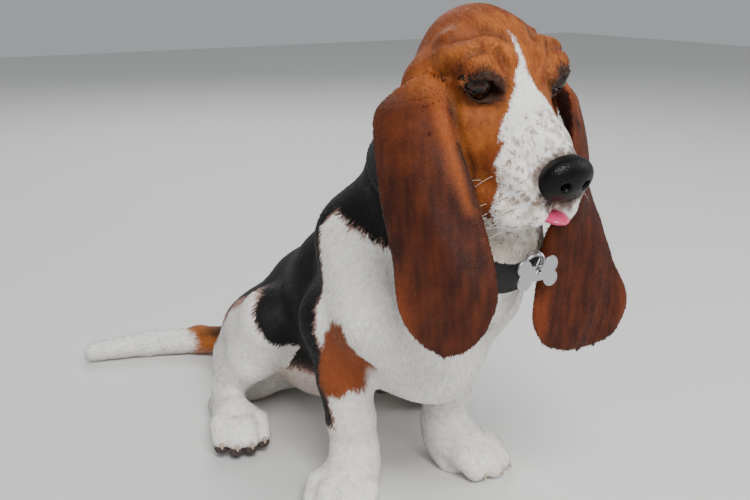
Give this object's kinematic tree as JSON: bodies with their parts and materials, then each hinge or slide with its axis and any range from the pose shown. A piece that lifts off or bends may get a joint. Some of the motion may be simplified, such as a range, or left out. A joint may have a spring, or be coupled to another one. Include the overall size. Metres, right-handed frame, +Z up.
{
  "type": "basset hound puppy, still model",
  "caption": "Life-size still model of a sitting basset hound puppy with long hanging ears, tail laid to one side, wearing a webbing collar with a ring and a bare bone-shaped tag.",
  "frame": {"origin": "on the floor under the middle of the dog's bounding box", "axes": "the dog faces -Y, its left side is +X and up is +Z"},
  "size_m": [0.27, 0.5444, 0.3663],
  "materials": {
    "tan_fur": "short flat coat",
    "brown_fur": "short flat coat",
    "white_fur": "short flat coat",
    "black_fur": "short flat coat",
    "nose_leather": "moist pebbled skin",
    "tongue": "wet flesh",
    "eye": "wet and glossy",
    "nylon": "woven webbing",
    "steel": "polished"
  },
  "bodies": {
    "root": {"head": "tan_fur", "nose": "nose_leather", "tongue": "tongue", "eye_left": "eye", "eye_right": "eye", "ear_left": "brown_fur", "ear_right": "brown_fur", "neck": "white_fur", "torso": "white_fur", "foreleg_left": "white_fur", "foreleg_right": "white_fur", "forepaw_left": "white_fur", "forepaw_right": "white_fur", "thigh_left": "black_fur", "thigh_right": "black_fur", "hind_leg_left": "white_fur", "hind_leg_right": "white_fur", "hind_paw_left": "white_fur", "hind_paw_right": "white_fur", "tail_root": "tan_fur", "tail_end": "white_fur", "collar": "nylon", "collar_ring": "steel", "split_ring": "steel", "tag": "steel"}
  },
  "joints": []
}
